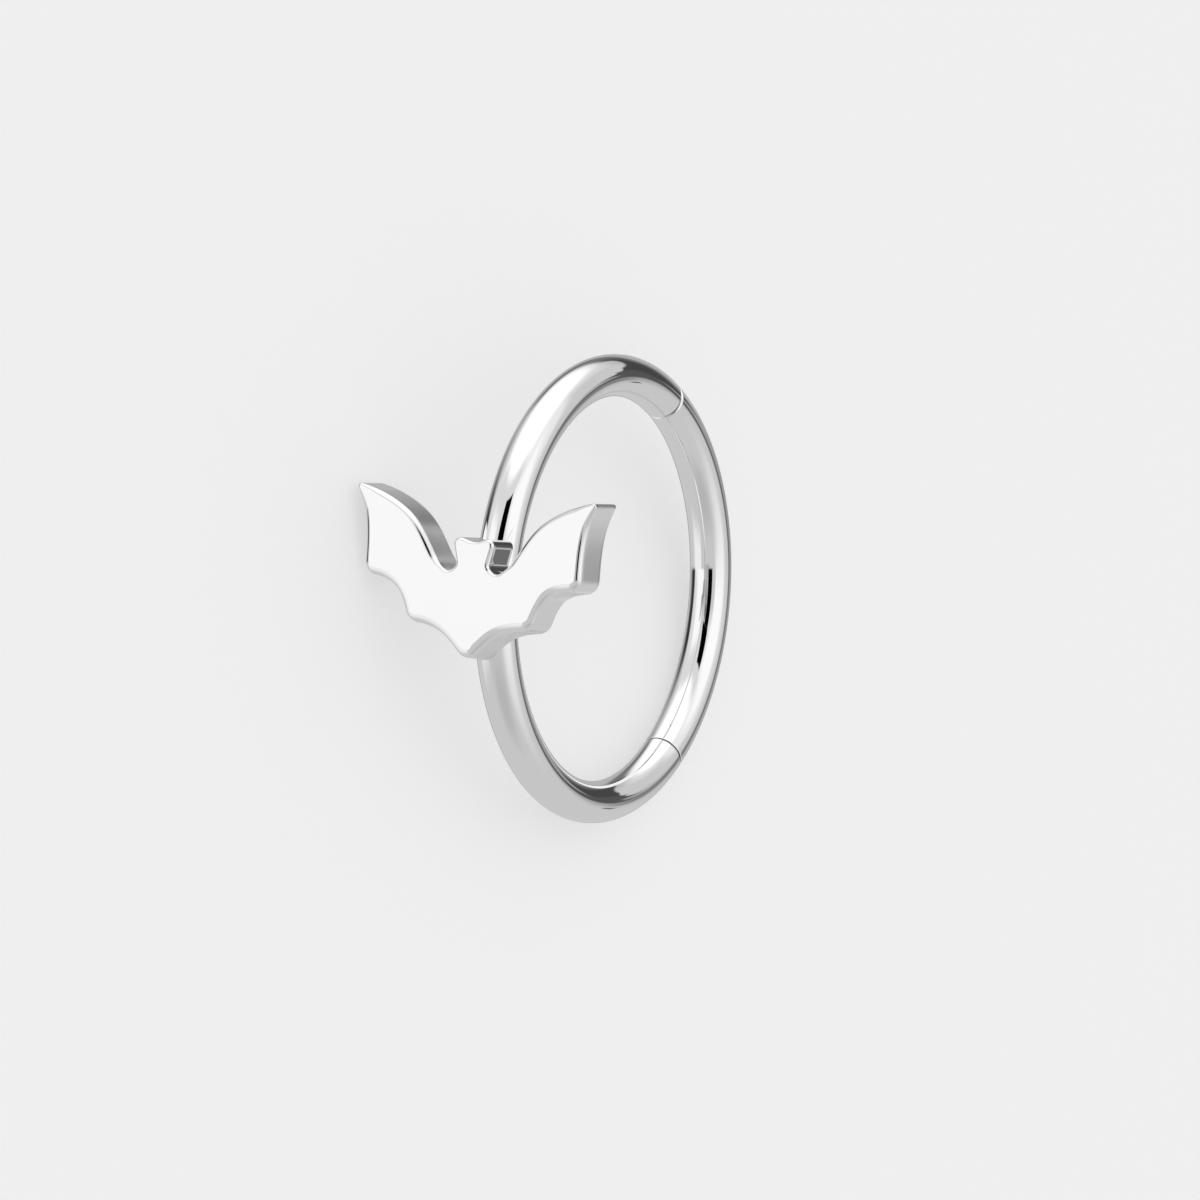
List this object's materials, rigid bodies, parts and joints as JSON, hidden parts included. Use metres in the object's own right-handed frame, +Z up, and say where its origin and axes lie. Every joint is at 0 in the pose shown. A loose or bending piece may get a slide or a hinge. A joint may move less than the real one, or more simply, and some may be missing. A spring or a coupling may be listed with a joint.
{
  "type": "hinged segment ring",
  "caption": "Round wire body-jewellery ring whose back segment swings open on a tiny hinge, with a flat bat-shaped charm fixed across its front.",
  "frame": {"origin": "on the surface that the ring rests on, under the middle of its bounding box", "axes": "+Z up; the charm faces -Y, and +Y points to the far side of the ring, where the segment is; the ring's own axis leans about 14 degrees off +Z, because the charm's lower wing props it up; +X points to the catch side"},
  "size_m": [0.0132, 0.0145, 0.0077],
  "materials": {
    "polished_metal": "mirror polished titanium",
    "pin_metal": "polished, ground flush with the wire"
  },
  "bodies": {
    "hoop": {"hoop": "polished_metal", "hinge_pin": "pin_metal"},
    "segment": {"hinged_segment": "polished_metal"}
  },
  "joints": [
    {"name": "segment_hinge", "type": "hinge", "parent": "hoop", "child": "segment", "pos_m": [-0.00555, 0.00369, 0.00262], "axis": [0.1819, 0.1673, 0.969], "range_deg": [0, 90]}
  ]
}
